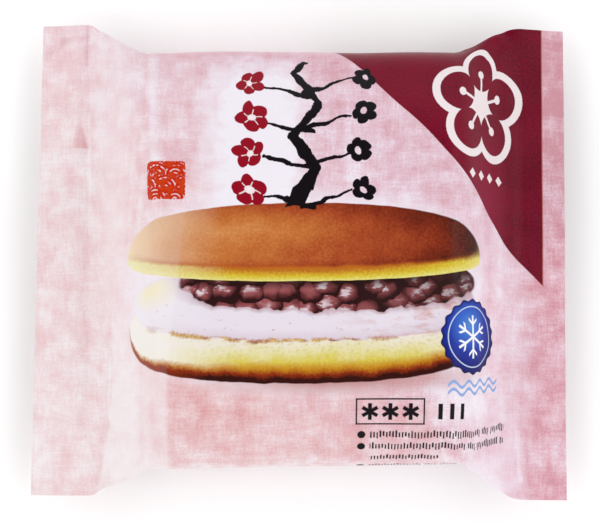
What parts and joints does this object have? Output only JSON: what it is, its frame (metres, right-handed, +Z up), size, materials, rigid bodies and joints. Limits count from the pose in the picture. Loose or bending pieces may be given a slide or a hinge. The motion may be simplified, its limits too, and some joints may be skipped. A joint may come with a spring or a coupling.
{
  "type": "dorayaki pack",
  "caption": "Flat-lying sealed pillow pack of printed pink film round a filled pancake cake, with a flat seal at each end and a fin along the back.",
  "frame": {"origin": "on the ground under the middle of the pack", "axes": "+X along the film tube from one end seal to the other, +Z up through the shown side"},
  "size_m": [0.135, 0.121, 0.0318],
  "materials": {
    "printed_film": "satin"
  },
  "bodies": {
    "root": {"pack": "printed_film"}
  },
  "joints": []
}
